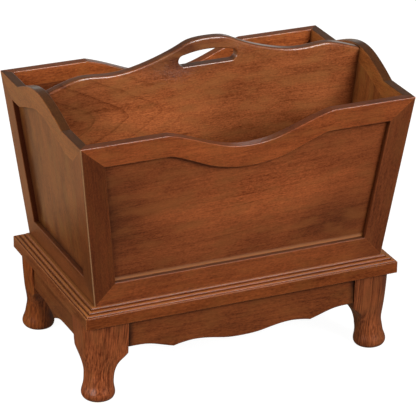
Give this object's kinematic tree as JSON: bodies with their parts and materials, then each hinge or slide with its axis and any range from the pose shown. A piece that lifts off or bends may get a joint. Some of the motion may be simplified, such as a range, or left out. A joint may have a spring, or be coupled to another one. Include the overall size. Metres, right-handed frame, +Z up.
{
  "type": "magazine rack",
  "caption": "Flared wooden magazine rack with framed panels, scalloped top edges, a divider with a hand slot, and a low stand with scalloped aprons and pad-footed legs.",
  "frame": {"origin": "on the floor, under the centre of the rack", "axes": "+X along the length, +Z up, -Y is the front; the hand slot runs along X over the centre"},
  "size_m": [0.4258, 0.2652, 0.3916],
  "materials": {
    "frame_wood": "satin lacquer over cherry stain",
    "panel_wood": "satin lacquer over cherry stain",
    "divider_wood": "satin lacquer over cherry stain",
    "stand_wood": "satin lacquer over cherry stain",
    "hidden_wood": "bare softwood",
    "screw_steel": "zinc plated"
  },
  "bodies": {
    "root": {"apron_back": "stand_wood", "apron_front": "stand_wood", "apron_left": "stand_wood", "apron_right": "stand_wood", "back_bottom_rail": "frame_wood", "back_panel": "panel_wood", "back_stile_left": "frame_wood", "back_stile_right": "frame_wood", "back_top_rail": "frame_wood", "divider": "divider_wood", "front_bottom_rail": "frame_wood", "front_panel": "panel_wood", "front_stile_left": "frame_wood", "front_stile_right": "frame_wood", "front_top_rail": "frame_wood", "glue_block_back_left": "hidden_wood", "glue_block_back_right": "hidden_wood", "glue_block_front_left": "hidden_wood", "glue_block_front_right": "hidden_wood", "glue_block_left": "hidden_wood", "glue_block_right": "hidden_wood", "left_bottom_rail": "frame_wood", "left_panel": "panel_wood", "left_stile_back": "frame_wood", "left_stile_front": "frame_wood", "left_top_rail": "frame_wood", "leg_back_left": "stand_wood", "leg_back_right": "stand_wood", "leg_front_left": "stand_wood", "leg_front_right": "stand_wood", "leg_screws": "screw_steel", "platform_back": "stand_wood", "platform_front": "stand_wood", "platform_left": "stand_wood", "platform_right": "stand_wood", "right_bottom_rail": "frame_wood", "right_panel": "panel_wood", "right_stile_back": "frame_wood", "right_stile_front": "frame_wood", "right_top_rail": "frame_wood", "tray_floor": "divider_wood", "tray_screws": "screw_steel"}
  },
  "joints": []
}
